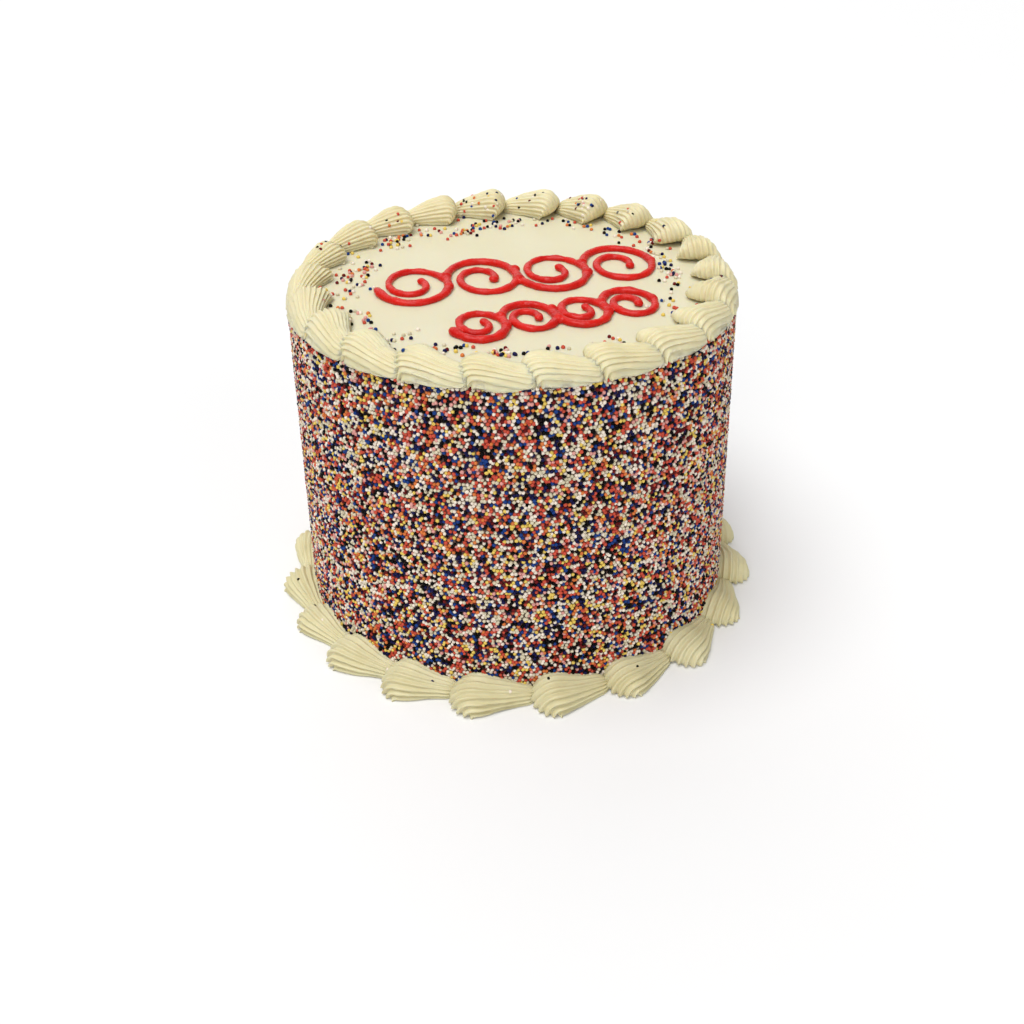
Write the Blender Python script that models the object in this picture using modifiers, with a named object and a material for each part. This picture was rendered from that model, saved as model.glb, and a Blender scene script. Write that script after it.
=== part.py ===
"""A tall round layer cake coated with round sugar sprinkles, in metres, +Z up, standing on z = 0.

The iced cake is one solid with sprinkles stuck to it. A ring of piped shells lies round the rim and another
round the foot, and two running scrolls are piped in red on the flat top. The front is at -Y.
"""

import math
import random

import bmesh
import bpy
from mathutils import Matrix, Vector

# The iced cake under its sprinkles
CAKE_HEIGHT = 0.130
FOOT_RADIUS = 0.0863
RIM_RADIUS = 0.0844
RIM_ROUNDING = 0.0045
ROUNDING_STEPS = 2
WALL_ROWS = 3
WALL_SIDES = 64

# Round sugar sprinkles
SPRINKLE_RADIUS = 0.00068
SPRINKLE_LIFT = 0.00010
WALL_SPRINKLES = 84
WALL_SPRINKLES_FROM = 0.0155
WALL_SPRINKLES_TO = 0.1235
TOP_SPRINKLES = 28
TOP_SPRINKLES_FROM = 0.049
TOP_SPRINKLES_TO = 0.0620
RIM_SPRINKLES = 9
FOOT_SPRINKLES = 3
GOLDEN_ANGLE = math.pi * (3 - math.sqrt(5))

# What rests on the cake keeps this gap
FIT_GAP = 0.0004

# The piped shells: each swells at its head and thins to its tail, which the next head covers. A station is
# a share of the shell's length from joint to joint, and how full it is there, from 0 (tail) to 1 (head)
SHELL_STATIONS = ((0.00, -0.15), (0.08, 0.62), (0.26, 1.0), (0.54, 0.72), (0.80, 0.18))
SHELL_RIBS = 6
SHELL_PITCH_SPREAD = 0.07
SHELL_SIZE_SPREAD = 0.05
GROOVE_DEPTH = 0.0011

# The ring of shells on the rim: its count and first joint, its sizes at a tail and at a head, and how the
# width and height of a shell at the front compare with one at the back
RIM_SHELLS = 22
RIM_FIRST_JOINT = math.radians(-87)
RIM_SEED = 3
RIM_REACHES = (0.0851, 0.0857)
RIM_HALF_WIDTHS = (0.0060, 0.0100)
RIM_HALF_HEIGHTS = (0.0042, 0.0073)
RIM_FRONT_SIZE = (0.82, 0.45)
RIM_TUCK = 0.43
RIM_LEAN = -0.0008
RIM_LIP_HEIGHT = 0.1258

# The ring of shells round the foot, in the same way; the widths are how far it stands out from the wall
FOOT_SHELLS = 20
FOOT_FIRST_JOINT = math.radians(-88)
FOOT_SEED = 5
FOOT_WIDTHS = (0.0064, 0.0101)
FOOT_HEIGHTS = (0.0060, 0.0112)
FOOT_FRONT_SIZE = (1.56, 0.87)
FOOT_ROUNDNESS = 0.72
FOOT_TUCK = 0.25

# A line of red icing: its half width, its cross-section in half widths, and the drop at each end
STROKE_RADIUS = 0.00162
STROKE_OUTLINE = ((-0.8, 0.0), (0.8, 0.0), (1.0, 0.55), (0.0, 1.35), (-1.0, 0.55))
STROKE_END_SWELL = 1.5
CAP_WELD = 0.000001

# A running scroll: a wavy stem, a curl that winds into each wave's hollow, and leaves between the waves
WAVES = 4
WAVE_STEPS = 6
WAVE_STRETCH = 1.3
CURL_TURNS = 1.12
CURL_TIP = 0.30
CURL_TIGHTENING = 0.8
CURL_THINNING = 0.90
LEAF_LENGTH = 0.0052
LEAF_START = 0.10
LEAF_LEAN = 0.12
LEAF_STATIONS = ((0.0, 0.6), (0.4, 1.25), (0.75, 0.95), (1.0, 0.35))
BRANCH_LIFT = 0.00006

# Where each scroll lies: its centre, its tilt and the length of a wave
UPPER_SCROLL = ((0.0020, 0.0030), math.radians(12), 0.0268)
LOWER_SCROLL = ((0.0150, -0.0350), math.radians(17), 0.0190)

# Materials: colour, roughness
CREAM = ((0.86, 0.80, 0.58, 1.0), 0.50)
SPRINKLED = ((0.52, 0.34, 0.28, 1.0), 0.45)
RED = ((0.66, 0.03, 0.02, 1.0), 0.35)


def between(low, high, share):
    """The value that lies this share of the way from low to high."""
    return low + (high - low) * share


def clear_scene():
    for old in list(bpy.data.objects):
        bpy.data.objects.remove(old, do_unlink=True)


def make_collection(name):
    collection = bpy.data.collections.new(name)
    bpy.context.scene.collection.children.link(collection)
    return collection


def make_material(name, colour, roughness):
    material = bpy.data.materials.new(name)
    material.use_nodes = True
    shader = material.node_tree.nodes["Principled BSDF"]
    shader.inputs["Base Color"].default_value = colour
    shader.inputs["Roughness"].default_value = roughness
    shader.inputs["Metallic"].default_value = 0.0
    material.diffuse_color = colour
    return material


def shade_round(mesh, sharp_angle_deg):
    mesh.shade_smooth()
    mesh.set_sharp_from_angle(angle=math.radians(sharp_angle_deg))


def wall_radius(height):
    """Radius of the iced wall, which draws in slightly towards the rim."""
    return between(FOOT_RADIUS, RIM_RADIUS, height / CAKE_HEIGHT)


def rim_arc(radius):
    """Points round the rim's rounding, from the wall up to the flat top, as (radius, height)."""
    quarter = math.pi / 2
    steps = [quarter * step / ROUNDING_STEPS for step in range(ROUNDING_STEPS + 1)]
    centre = (RIM_RADIUS - RIM_ROUNDING, CAKE_HEIGHT - RIM_ROUNDING)
    return [(centre[0] + radius * math.cos(turn), centre[1] + radius * math.sin(turn)) for turn in steps]


def make_sprinkle_mesh(material):
    bpy.ops.mesh.primitive_ico_sphere_add(subdivisions=1, radius=SPRINKLE_RADIUS)
    pattern = bpy.context.object
    mesh = pattern.data
    mesh.name = "sprinkle"
    mesh.materials.append(material)
    bpy.data.objects.remove(pattern)
    return mesh


def scatter(mesh, places, draw):
    """A collection of sprinkles that share one mesh, one at each place, each turned its own way."""
    collection = make_collection("sprinkles_to_join")
    for place in places:
        sprinkle = bpy.data.objects.new("sprinkle", mesh)
        sprinkle.location = place
        sprinkle.rotation_euler = [draw.uniform(0, math.tau) for _ in range(3)]
        collection.objects.link(sprinkle)
    return collection


def join_pieces(target, collection):
    """One union of the target with all that the collection holds, after which the loose pieces go."""
    union = target.modifiers.new("join", "BOOLEAN")
    union.operation = "UNION"
    union.operand_type = "COLLECTION"
    union.collection = collection
    union.solver = "MANIFOLD"
    bpy.context.view_layer.update()
    bpy.ops.object.select_all(action="DESELECT")
    bpy.context.view_layer.objects.active = target
    target.select_set(True)
    bpy.ops.object.modifier_apply(modifier=union.name)
    for piece in list(collection.objects):
        bpy.data.objects.remove(piece)
    bpy.data.collections.remove(collection)


def cake_profile():
    """Outer line of the cake from the middle of the top, over the rim and down the wall: (radius, height)."""
    over_rim = list(reversed(rim_arc(RIM_ROUNDING)))
    rim_start = CAKE_HEIGHT - RIM_ROUNDING
    heights = [rim_start * (1 - row / WALL_ROWS) for row in range(1, WALL_ROWS + 1)]
    down_wall = [(wall_radius(height), height) for height in heights]
    return [(0.0, CAKE_HEIGHT), *over_rim, *down_wall, (0.0, 0.0)]


def make_cake(parts, material):
    """The iced cake, turned about its upright axis."""
    mesh = bpy.data.meshes.new("cake")
    points = [(radius, 0.0, height) for radius, height in cake_profile()]
    mesh.from_pydata(points, [(k, k + 1) for k in range(len(points) - 1)], [])
    mesh.materials.append(material)
    cake = bpy.data.objects.new("cake", mesh)
    parts.objects.link(cake)
    turn = cake.modifiers.new("turn", "SCREW")
    turn.axis = "Z"
    turn.angle = math.tau
    turn.steps = WALL_SIDES
    turn.render_steps = WALL_SIDES
    turn.use_merge_vertices = True
    turn.merge_threshold = 0.00005
    bpy.context.view_layer.objects.active = cake
    bpy.ops.object.modifier_apply(modifier=turn.name)
    return cake


def wall_sprinkle_places(draw):
    """Even places on the wall, on a spiral whose step is the golden angle, each moved a little at random."""
    places = []
    spread = (WALL_SPRINKLES_TO - WALL_SPRINKLES_FROM) / WALL_SPRINKLES
    for count in range(WALL_SPRINKLES):
        turn = count * GOLDEN_ANGLE + draw.uniform(-0.06, 0.06)
        height = WALL_SPRINKLES_FROM + (count + draw.uniform(0.1, 0.9)) * spread
        radius = wall_radius(height) + SPRINKLE_LIFT
        places.append(Vector((radius * math.cos(turn), radius * math.sin(turn), height)))
    return places


def top_sprinkle_places(draw, taken):
    """Places in a band just inside the rim shells, clear of the icing strokes and of each other."""
    kept = []
    clear = STROKE_RADIUS * STROKE_END_SWELL + 3 * SPRINKLE_RADIUS
    height = CAKE_HEIGHT + SPRINKLE_LIFT
    count = 0
    while len(kept) < TOP_SPRINKLES:
        turn = count * GOLDEN_ANGLE + draw.uniform(-0.1, 0.1)
        radius = between(TOP_SPRINKLES_FROM, TOP_SPRINKLES_TO, math.sqrt(draw.random()))
        place = Vector((radius * math.cos(turn), radius * math.sin(turn), height))
        free = all((place.xy - other).length > clear for other in taken)
        apart = all((place - other).length > 3 * SPRINKLE_RADIUS for other in kept)
        if free and apart:
            kept.append(place)
        count += 1
    return kept


def places_on(piece, count, draw):
    """Places on the upward faces of a piped ring, spread round it."""
    upward = [face for face in piece.data.polygons if face.normal.z > 0.55]
    upward.sort(key=lambda face: math.atan2(face.center.y, face.center.x))
    step = len(upward) / count
    chosen = [upward[int((k + draw.uniform(0.2, 0.8)) * step)] for k in range(count)]
    return [face.center + face.normal * SPRINKLE_LIFT for face in chosen]


def rib_arc(centre, half_width, half_height, start, end):
    """A ribbed arc as (radius, height, turn): ribs stand at the odd points and grooves lie between them."""
    points = []
    last = 2 * SHELL_RIBS
    for k in range(last + 1):
        turn = between(start, end, k / last)
        foot = k in (0, last)
        bulge = 1.0 if foot or k % 2 else 1.0 - GROOVE_DEPTH / half_height
        radius = centre[0] + half_width * bulge * math.cos(turn)
        height = centre[1] + half_height * bulge * math.sin(turn)
        points.append((radius, height, turn))
    return points


def rim_section(fullness, width_factor, height_factor):
    """Cross-section of a rim shell, which lies on the flat top and sags over the rounded rim."""
    half_width = between(*RIM_HALF_WIDTHS, fullness) * width_factor
    half_height = between(*RIM_HALF_HEIGHTS, fullness) * height_factor
    seat = CAKE_HEIGHT + FIT_GAP
    reach = between(*RIM_REACHES, fullness)
    centre = (reach - half_width, seat + RIM_TUCK * half_height)
    sag = centre[1] - RIM_LIP_HEIGHT
    section = []
    for r, z, turn in rib_arc(centre, half_width, half_height, 0.0, math.pi + math.asin(RIM_TUCK)):
        lean = RIM_LEAN * max(math.sin(turn), 0.0) ** 2
        section.append((r + lean, max(seat, z) - sag * max(math.cos(turn), 0.0) ** 2))
    section[0] = (reach, RIM_LIP_HEIGHT)
    under = list(reversed(rim_arc(RIM_ROUNDING + FIT_GAP)))
    under[-1] = (under[-1][0], RIM_LIP_HEIGHT)
    return section + under


def foot_section(fullness, width_factor, height_factor):
    """Cross-section of a foot shell, which stands on the ground and leans on the wall."""
    width = between(*FOOT_WIDTHS, fullness) * width_factor
    half_width = width * FOOT_ROUNDNESS
    half_height = between(*FOOT_HEIGHTS, fullness) * height_factor / (1 + FOOT_TUCK)
    inner = FOOT_RADIUS + FIT_GAP
    centre = (inner + width - half_width, FOOT_TUCK * half_height)
    contact = math.acos((inner - centre[0]) / half_width)
    arc = rib_arc(centre, half_width, half_height, -math.asin(FOOT_TUCK), contact)
    section = [(r, max(z, 0.0)) for r, z, _ in arc]
    section[-1] = (inner, section[-1][1])
    return [*section, (inner, 0.0)]


def shell_stations(shells, first_joint, front_size, seed):
    """Angle, fullness and size factors of each section round the ring, from head to tail anticlockwise.

    The shells change smoothly in width and height from the back of the cake to the front.
    """
    draw = random.Random(seed)
    pitches = [1 + draw.uniform(-SHELL_PITCH_SPREAD, SHELL_PITCH_SPREAD) for _ in range(shells)]
    whole = sum(pitches)
    stations = []
    start = first_joint
    for pitch in pitches:
        turn = math.tau * pitch / whole
        frontness = (1 - math.sin(start + turn / 2)) / 2
        own = 1 + draw.uniform(-SHELL_SIZE_SPREAD, SHELL_SIZE_SPREAD)
        factors = [own * between(1.0, front, frontness) for front in front_size]
        for share, fullness in SHELL_STATIONS:
            stations.append((start + share * turn, fullness, *factors))
        start += turn
    return stations


def loft_closed(form, rings):
    """Skins the rings in turn and from the last back to the first."""
    for ring, after in zip(rings, rings[1:] + rings[:1]):
        for k in range(len(ring)):
            following = (k + 1) % len(ring)
            form.faces.new((ring[k], after[k], after[following], ring[following]))
    bmesh.ops.triangulate(form, faces=form.faces)
    bmesh.ops.recalc_face_normals(form, faces=form.faces)


def make_shell_ring(parts, material, name, section_of, stations):
    """A closed ring lofted through the ribbed sections of its shells."""
    form = bmesh.new()
    rings = []
    for angle, fullness, width_factor, height_factor in stations:
        section = section_of(fullness, width_factor, height_factor)
        along = Matrix.Rotation(angle, 3, "Z")
        rings.append([form.verts.new(along @ Vector((r, 0.0, z))) for r, z in section])
    loft_closed(form, rings)
    mesh = bpy.data.meshes.new(name)
    form.to_mesh(mesh)
    form.free()
    mesh.materials.append(material)
    shell_ring = bpy.data.objects.new(name, mesh)
    parts.objects.link(shell_ring)
    return shell_ring


def new_line(name, places, closed=False):
    """A curve object whose one straight-sided line runs through the places, given as (x, y, radius)."""
    curve = bpy.data.curves.new(name, "CURVE")
    curve.dimensions = "2D"
    curve.fill_mode = "NONE"
    line = curve.splines.new("POLY")
    line.points.add(len(places) - 1)
    line.use_cyclic_u = closed
    for point, (x, y, radius) in zip(line.points, places):
        point.co = (x, y, 0.0, 1.0)
        point.radius = radius
    return bpy.data.objects.new(name, curve)


def stem_line(pitch):
    """The wavy stem along x: half rings that lie below and above the axis by turns."""
    line = []
    for wave in range(WAVES):
        middle = (wave + 0.5 - WAVES / 2) * pitch
        side = -1 if wave % 2 == 0 else 1
        for step in range(0 if wave == 0 else 1, WAVE_STEPS + 1):
            turn = math.pi * step / WAVE_STEPS
            x = middle - pitch / 2 * math.cos(turn)
            line.append((x, side * pitch / 2 * WAVE_STRETCH * math.sin(turn), STROKE_RADIUS))
    swell_end(line, 0)
    return line


def swell_end(line, end):
    """The thicker drop left where the piping began or stopped."""
    x, y, stroke_radius = line[end]
    line[end] = (x, y, stroke_radius * STROKE_END_SWELL)


def curl_line(pitch, wave):
    """The curl that leaves the stem at the end of this wave and winds into its hollow."""
    middle = (wave + 0.5 - WAVES / 2) * pitch
    side = 1 if wave % 2 == 0 else -1
    steps = round(2 * WAVE_STEPS * CURL_TURNS)
    line = []
    for step in range(steps + 1):
        share = step / steps
        turn = math.tau * CURL_TURNS * share
        reach = pitch / 2 * (1 - (1 - CURL_TIP) * share ** CURL_TIGHTENING)
        x = middle + reach * math.cos(turn)
        y = side * reach * WAVE_STRETCH * math.sin(turn)
        line.append((x, y, STROKE_RADIUS * CURL_THINNING))
    swell_end(line, -1)
    return line


def leaf_line(pitch, crossing, side):
    """A leaf that points outwards from the stem between two waves, thin at its tip."""
    x = (crossing - WAVES / 2) * pitch
    line = []
    for share, fullness in LEAF_STATIONS:
        along = LEAF_LENGTH * share
        y = side * (pitch * LEAF_START + along)
        line.append((x + side * LEAF_LEAN * along, y, STROKE_RADIUS * fullness))
    return line


def scroll_lines(pitch):
    """Every line of one running scroll, laid along x about the origin, stem first."""
    curls = [curl_line(pitch, wave) for wave in range(WAVES)]
    leaves = [leaf_line(pitch, crossing, side) for crossing in range(1, WAVES) for side in (-1, 1)]
    return [stem_line(pitch), *curls, *leaves]


def placed(line, centre, tilt):
    turn = Matrix.Rotation(tilt, 2)
    moved = []
    for x, y, stroke_radius in line:
        place = turn @ Vector((x, y)) + Vector(centre)
        moved.append((place.x, place.y, stroke_radius))
    return moved


def make_stroke(collection, material, name, line, profile, floor):
    """One line of icing: the flat-bottomed profile swept along the line, as a closed mesh."""
    path = new_line(f"{name}_path", line)
    path.data.bevel_mode = "OBJECT"
    path.data.bevel_object = profile
    path.data.use_fill_caps = True
    path.location.z = floor
    collection.objects.link(path)
    graph = bpy.context.evaluated_depsgraph_get()
    mesh = bpy.data.meshes.new_from_object(path.evaluated_get(graph))
    form = bmesh.new()
    form.from_mesh(mesh)
    bmesh.ops.remove_doubles(form, verts=form.verts, dist=CAP_WELD)
    bmesh.ops.recalc_face_normals(form, faces=form.faces)
    form.to_mesh(mesh)
    form.free()
    mesh.materials.clear()
    mesh.materials.append(material)
    stroke = bpy.data.objects.new(name, mesh)
    stroke.matrix_world = path.matrix_world.copy()
    bpy.data.objects.remove(path)
    collection.objects.link(stroke)
    return stroke


def make_scroll(parts, material, name, placing):
    """A running scroll in one piece: its curls and leaves joined to its stem.

    Each branch lies a hair higher than the one before, so that no two undersides share a plane.
    """
    centre, tilt, pitch = placing
    lines = [placed(line, centre, tilt) for line in scroll_lines(pitch)]
    floor = CAKE_HEIGHT + FIT_GAP
    profile = new_line("icing_profile", [(side, rise, 1.0) for side, rise in STROKE_OUTLINE], closed=True)
    stem = make_stroke(parts, material, name, lines[0], profile, floor)
    branches = make_collection("branches_to_join")
    for number, line in enumerate(lines[1:], start=1):
        make_stroke(branches, material, f"branch_{number}", line, profile, floor + BRANCH_LIFT * number)
    join_pieces(stem, branches)
    bpy.data.objects.remove(profile)
    shade_round(stem.data, 50)
    return stem


def main():
    clear_scene()
    parts = make_collection("sprinkle_cake")
    cream = make_material("cream_icing", *CREAM)
    sprinkled = make_material("sprinkle_coat", *SPRINKLED)
    red = make_material("red_icing", *RED)
    draw = random.Random(22)

    scrolls = {"upper_scroll": UPPER_SCROLL, "lower_scroll": LOWER_SCROLL}
    taken = []
    for centre, tilt, pitch in scrolls.values():
        for line in scroll_lines(pitch):
            taken.extend(Vector((x, y)) for x, y, _ in placed(line, centre, tilt))
    sprinkle_mesh = make_sprinkle_mesh(sprinkled)

    cake = make_cake(parts, sprinkled)
    cake_places = wall_sprinkle_places(draw) + top_sprinkle_places(draw, taken)
    join_pieces(cake, scatter(sprinkle_mesh, cake_places, draw))
    shade_round(cake.data, 35)

    rim_stations = shell_stations(RIM_SHELLS, RIM_FIRST_JOINT, RIM_FRONT_SIZE, RIM_SEED)
    rim_border = make_shell_ring(parts, cream, "rim_border", rim_section, rim_stations)
    foot_stations = shell_stations(FOOT_SHELLS, FOOT_FIRST_JOINT, FOOT_FRONT_SIZE, FOOT_SEED)
    foot_border = make_shell_ring(parts, cream, "foot_border", foot_section, foot_stations)
    for border, count in ((rim_border, RIM_SPRINKLES), (foot_border, FOOT_SPRINKLES)):
        join_pieces(border, scatter(sprinkle_mesh, places_on(border, count, draw), draw))
        shade_round(border.data, 50)

    for name, placing in scrolls.items():
        make_scroll(parts, red, name, placing)
    bpy.data.meshes.remove(sprinkle_mesh)


main()
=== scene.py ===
"""A tall sprinkle cake with piped shell borders and red piped scrolls, dressed for its photograph."""

import math
import random

import bpy
import numpy as np
from mathutils import Matrix, Vector, bvhtree, noise


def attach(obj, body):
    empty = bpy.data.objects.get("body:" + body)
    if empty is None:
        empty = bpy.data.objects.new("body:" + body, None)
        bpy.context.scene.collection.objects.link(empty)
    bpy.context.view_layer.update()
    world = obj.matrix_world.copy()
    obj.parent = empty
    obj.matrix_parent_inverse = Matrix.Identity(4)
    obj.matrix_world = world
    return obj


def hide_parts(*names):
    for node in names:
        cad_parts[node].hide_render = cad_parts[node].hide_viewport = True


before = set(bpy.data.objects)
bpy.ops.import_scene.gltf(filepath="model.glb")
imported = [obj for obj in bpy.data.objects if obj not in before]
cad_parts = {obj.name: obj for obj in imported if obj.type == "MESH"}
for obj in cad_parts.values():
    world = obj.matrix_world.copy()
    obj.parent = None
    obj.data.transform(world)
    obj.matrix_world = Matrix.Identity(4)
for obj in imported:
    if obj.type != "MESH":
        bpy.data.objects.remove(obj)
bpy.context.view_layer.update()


# Camera, floor and light
# The cake was photographed from a little above, with the frame tipped very slightly, under soft room light.
# A pale table top, a pale backdrop and four soft lamps stand in for the room.
CAMERA_PLACE = Vector((-0.00170, -0.4475, 0.3091))
CAMERA_LOOKS_DOWN = math.radians(32.33)
CAMERA_ROLL = math.radians(-1.2)
CAMERA_LENS_MM = 43.95
CAMERA_NEAR = 0.01
SENSOR_MM = 36.0
TABLE_SIZE = 40.0
TABLE_WHITE = (0.83, 0.83, 0.83, 1.0)
TABLE_ROUGHNESS = 0.7
ROOM_WHITE = (1.0, 1.0, 1.0, 1.0)
ROOM_STRENGTH = 0.24
ROOM_SEEN = 0.98
# Each lamp: where its light comes from, its spread in degrees and its strength
LAMPS = {
    "ceiling_light": ((-0.22, -0.12, 1.0), 45, 2.25),
    "window_left": ((-0.25, -1.0, 0.70), 30, 0.85),
    "window_right": ((0.9, -1.0, 0.55), 40, 0.38),
    "window_behind": ((-0.3, 1.0, 0.80), 60, 0.60),
}

bpy.ops.object.select_all(action="DESELECT")
bpy.ops.object.camera_add(location=CAMERA_PLACE)
camera = bpy.context.object
camera.data.lens = CAMERA_LENS_MM
camera.data.sensor_width = SENSOR_MM
camera.data.clip_start = CAMERA_NEAR
turned_down = Matrix.Rotation(math.pi / 2 - CAMERA_LOOKS_DOWN, 4, "X")
rolled = Matrix.Rotation(CAMERA_ROLL, 4, "Z")
camera.matrix_world = Matrix.Translation(CAMERA_PLACE) @ turned_down @ rolled
bpy.context.scene.camera = camera

bpy.ops.object.select_all(action="DESELECT")
bpy.ops.mesh.primitive_plane_add(size=TABLE_SIZE)
table = bpy.context.object
table.name = "table_top"
table_paint = bpy.data.materials.new("pale table top")
table_paint.use_nodes = True
shader = table_paint.node_tree.nodes["Principled BSDF"]
shader.inputs["Base Color"].default_value = TABLE_WHITE
shader.inputs["Roughness"].default_value = TABLE_ROUGHNESS
table.data.materials.append(table_paint)

room = bpy.data.worlds.new("white room")
room.use_nodes = True
backdrop = room.node_tree.nodes["Background"]
backdrop.inputs["Color"].default_value = ROOM_WHITE
ray = room.node_tree.nodes.new("ShaderNodeLightPath")
glow = room.node_tree.nodes.new("ShaderNodeMapRange")
glow.inputs["To Min"].default_value = ROOM_STRENGTH
glow.inputs["To Max"].default_value = ROOM_SEEN
room.node_tree.links.new(ray.outputs["Is Camera Ray"], glow.inputs["Value"])
room.node_tree.links.new(glow.outputs["Result"], backdrop.inputs["Strength"])
bpy.context.scene.world = room
bpy.context.scene.view_settings.view_transform = "Standard"


def soft_light(name, comes_from, spread, strength):
    """Even light from one side of the room, as wide as the spread in degrees, so that shadows stay soft."""
    lamp = bpy.data.lights.new(name, "SUN")
    lamp.energy = strength
    lamp.angle = math.radians(spread)
    holder = bpy.data.objects.new(name, lamp)
    bpy.context.scene.collection.objects.link(holder)
    holder.rotation_euler = Vector(comes_from).to_track_quat("Z", "Y").to_euler()


for name, (comes_from, spread, strength) in LAMPS.items():
    soft_light(name, comes_from, spread, strength)


# Iced cake
# A tall stack of sponge under a coat of ivory buttercream, smoothed flat on top with a palette knife.
# Only the top shows bare: sprinkles cover the wall. It is turned a little narrower towards the rim.
CAKE_HEIGHT = 0.130
FOOT_RADIUS = 0.0863
RIM_RADIUS = 0.0844
RIM_ROUNDING = 0.0045
RIM_ROUNDING_STEPS = 5
CAKE_SIDES = 256
# Rings inset in the flat top, from the rim inwards: how wide in all, and in how many steps
TOP_RINGS = ((0.0100, 1), (0.0150, 2), (0.0180, 3))
ICING_WAVE = 0.035
ICING_WAVE_DEPTH = 0.0003
FINE_WAVES = 3.1
FINE_WAVE_SHARE = 0.4
IVORY = (0.690, 0.645, 0.460, 1.0)
IVORY_DEEP = (0.670, 0.620, 0.420, 1.0)
WALL_TOP = 0.1258
WALL_SINK = 0.0006
# The wall icing under the sprinkles is painted dark. This painted shade stands for the shadow in the deep
# gaps between the sugar balls; the buttercream itself is ivory.
WALL_GAP_SHADE = (0.130, 0.062, 0.048, 1.0)
WALL_GAP_SHADE_DEEP = (0.040, 0.014, 0.014, 1.0)
# Faces whose normals rise above the first value look up, and those below the second are the underside
LOOKS_UP = 0.999
LOOKS_DOWN = -0.5
# An icing's finish: the scales of its patches and its grain, its roughness, how deep its relief goes in
# metres, and its glow, which is how much of the light goes a little way in
TOP_FINISH = (28, 900, 0.42, 0.0003, 0.55)
WALL_GAP_SHADE_FINISH = (90, 900, 0.55, 0.0003, 0.0)
PATCH_DETAIL = 4.0
# Between these values of the noise, one colour passes into the other
PATCH_EDGES = (0.35, 0.70)
GRAIN_DETAIL = 3.0
GRAIN_DULLING = 0.16
GRAIN_RELIEF = 0.35
ICING_BUMP = 0.6
ICING_GLOW_REACH = (0.0034, 0.0024, 0.0012)


def pick(piece, wanted, domain="VERT"):
    """Selects, for the next edit, the points or faces that the test wants, and goes into edit mode."""
    if bpy.context.mode != "OBJECT":
        bpy.ops.object.mode_set(mode="OBJECT")
    bpy.ops.object.select_all(action="DESELECT")
    bpy.context.view_layer.objects.active = piece
    piece.select_set(True)
    bpy.ops.object.mode_set(mode="EDIT")
    bpy.ops.mesh.select_mode(type=domain)
    bpy.ops.mesh.select_all(action="DESELECT")
    bpy.ops.object.mode_set(mode="OBJECT")
    parts = piece.data.polygons if domain == "FACE" else piece.data.vertices
    for part in parts:
        part.select = wanted(part)
    bpy.ops.object.mode_set(mode="EDIT")


def apply_modifiers(piece):
    bpy.ops.object.mode_set(mode="OBJECT")
    bpy.ops.object.select_all(action="DESELECT")
    bpy.context.view_layer.objects.active = piece
    piece.select_set(True)
    for modifier in list(piece.modifiers):
        bpy.ops.object.modifier_apply(modifier=modifier.name)


def points_of(mesh):
    points = np.empty(len(mesh.vertices) * 3)
    mesh.vertices.foreach_get("co", points)
    return points.reshape(-1, 3)


def move_points(mesh, points):
    mesh.vertices.foreach_set("co", points.ravel())
    mesh.update()


def make_uneven(mesh, wave, depth):
    """Moves each point a little along its normal, in smooth waves, as icing laid by hand is never true.
    No point goes below the ground."""
    points = points_of(mesh)
    for count, vertex in enumerate(mesh.vertices):
        rise = noise.noise(vertex.co / wave) + FINE_WAVE_SHARE * noise.noise(vertex.co / wave * FINE_WAVES)
        points[count] += np.array(vertex.normal) * rise * depth
    points[:, 2] = np.maximum(points[:, 2], 0.0)
    move_points(mesh, points)


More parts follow.
